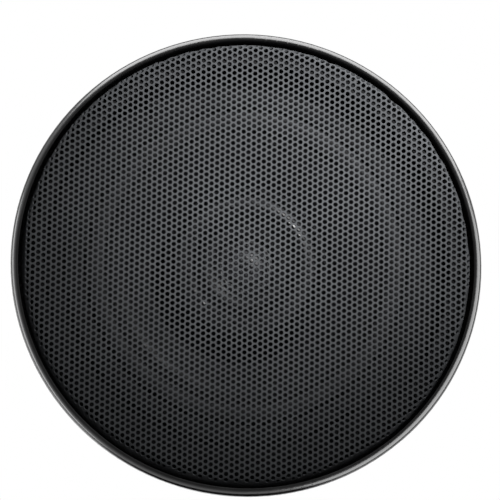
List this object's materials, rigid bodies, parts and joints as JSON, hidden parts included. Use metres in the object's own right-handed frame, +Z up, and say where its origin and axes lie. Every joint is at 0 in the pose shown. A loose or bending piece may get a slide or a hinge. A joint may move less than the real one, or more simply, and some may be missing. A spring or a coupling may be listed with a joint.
{
  "type": "pendant speaker",
  "caption": "Black pendant loudspeaker: tapered shell with a rounded rim and a flat perforated grille over a coaxial woofer and tweeter, hung from an eye plate on its deck.",
  "frame": {"origin": "Centre of the main eye in the hanger plate, from which the loudspeaker hangs.", "axes": "+Z is up along the suspension and the grille faces down, -Z. +Y is the main eye's axis and points to the side of the deck that holds the terminal."},
  "size_m": [0.1966, 0.1966, 0.2245],
  "materials": {
    "grille": "fine black powder coat",
    "rim": "satin black moulded rim",
    "shell": "black moulded, fine spark texture",
    "seal": "soft black foam",
    "black_screw": "black zinc",
    "felt": "white polyester felt",
    "frame": "black enamel",
    "cone": "dark grey mineral filled",
    "roll": "matt black rubber",
    "spider": "resin-stiffened cotton",
    "former": "amber film",
    "copper": "enamelled copper wire",
    "zinc": "zinc plated",
    "ferrite": "sintered ferrite",
    "fibre": "brown fibre board",
    "tin": "tinned brass",
    "waveguide": "satin black",
    "dome": "coated black dome",
    "nickel": "bright nickel",
    "aluminium": "plain turned",
    "board": "green solder mask",
    "capacitor": "blue sleeve",
    "resistor": "white ceramic",
    "terminal": "green terminal plastic"
  },
  "bodies": {
    "cabinet": {"grille": "grille", "grille_seal": "seal", "front_baffle": "rim", "baffle_screws": "black_screw", "baffle_seal": "seal", "enclosure_shell": "shell", "damping_lining": "felt", "woofer_frame": "frame", "woofer_seal": "seal", "woofer_screws": "zinc", "woofer_trim": "seal", "woofer_surround": "roll", "woofer_spider": "spider", "woofer_top_plate": "zinc", "woofer_magnet": "ferrite", "woofer_yoke": "zinc", "woofer_terminal_strip": "fibre", "woofer_terminal_lugs": "tin", "tweeter_waveguide": "waveguide", "tweeter_dome": "dome", "tweeter_coil": "copper", "tweeter_plate": "zinc", "tweeter_magnet": "nickel", "tweeter_yoke": "zinc", "tweeter_housing": "waveguide", "tweeter_post": "aluminium", "post_nut": "zinc", "crossover_board": "board", "board_screws": "zinc", "crossover_coils": "copper", "crossover_capacitors": "capacitor", "crossover_resistors": "resistor", "terminal_cup": "shell", "terminal_seal": "seal", "terminal_header": "terminal", "terminal_plug": "terminal", "terminal_plug_screws": "zinc", "hanger_plate": "zinc", "backing_plate": "zinc", "hanger_bolts": "black_screw", "hanger_nuts": "zinc"},
    "cone": {"woofer_cone": "cone", "voice_coil_former": "former", "voice_coil_winding": "copper"}
  },
  "joints": [
    {"name": "cone_travel", "type": "slide", "parent": "cabinet", "child": "cone", "axis": [0, 0, 1], "range_m": [-0.004, 0.004], "stiffness_N_per_m": 1500, "deforming": ["woofer_surround", "woofer_spider"]}
  ]
}
